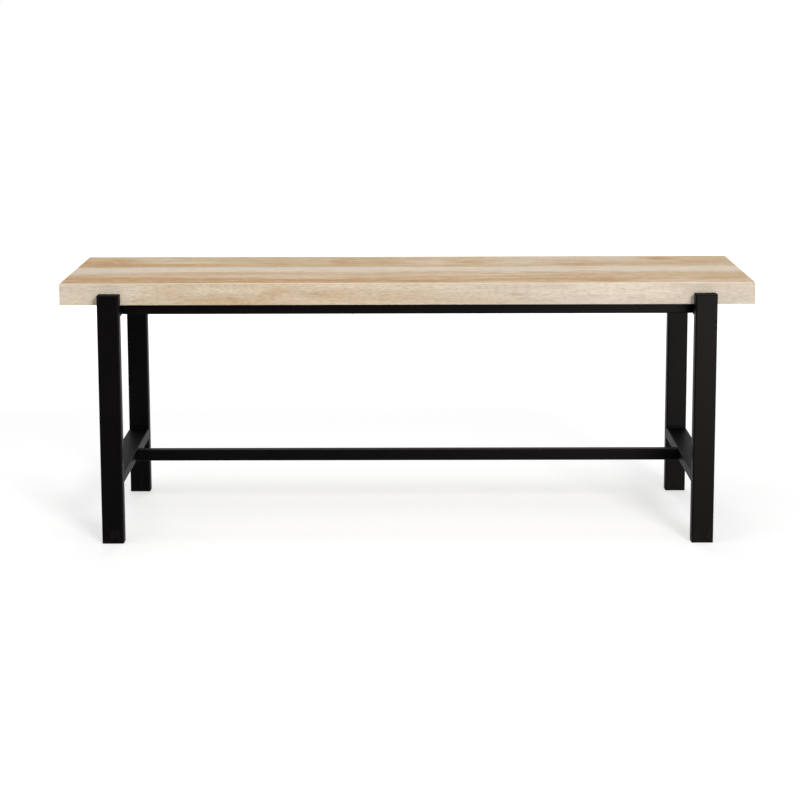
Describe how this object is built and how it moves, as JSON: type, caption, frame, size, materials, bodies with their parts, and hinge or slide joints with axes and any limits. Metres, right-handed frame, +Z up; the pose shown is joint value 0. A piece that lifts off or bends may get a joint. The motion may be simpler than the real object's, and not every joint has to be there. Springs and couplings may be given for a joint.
{
  "type": "entryway bench",
  "caption": "Long low bench: thick oak-look top held between black tube legs that lap its front and back edges, rails under it and a low H stretcher.",
  "frame": {"origin": "centre of the footprint, on the floor", "axes": "+X along the bench to the right as seen from the front, +Y from front to back, +Z up; the front faces -Y"},
  "size_m": [1.206, 0.406, 0.457],
  "materials": {
    "board_core": "raw particleboard",
    "oak_top": "matte printed light oak laminate, three planks wide, grain along the bench",
    "oak_edge": "matte printed light oak edge banding, grain along the edge",
    "balance_paper": "plain matte wood-tone balancing sheet",
    "black_frame": "satin black powder coat",
    "black_plastic": "moulded matte black",
    "zinc": "zinc plated",
    "black_bolt": "black oxide, slightly glossy",
    "black_screw": "black phosphate"
  },
  "bodies": {
    "root": {"top_core": "board_core", "top_laminate": "oak_top", "backing_sheet": "balance_paper", "front_edge_band": "oak_edge", "back_edge_band": "oak_edge", "left_edge_band": "oak_edge", "right_edge_band": "oak_edge", "front_left_leg": "black_frame", "front_right_leg": "black_frame", "back_left_leg": "black_frame", "back_right_leg": "black_frame", "left_cross_rail": "black_frame", "right_cross_rail": "black_frame", "left_side_stretcher": "black_frame", "right_side_stretcher": "black_frame", "front_rail": "black_frame", "back_rail": "black_frame", "long_stretcher": "black_frame", "front_left_cap": "black_plastic", "front_right_cap": "black_plastic", "back_left_cap": "black_plastic", "back_right_cap": "black_plastic", "front_left_foot": "black_plastic", "front_right_foot": "black_plastic", "back_left_foot": "black_plastic", "back_right_foot": "black_plastic", "nut_blocks": "zinc", "frame_bolts": "black_bolt", "bolt_washers": "black_bolt", "top_screws": "black_screw"}
  },
  "joints": []
}
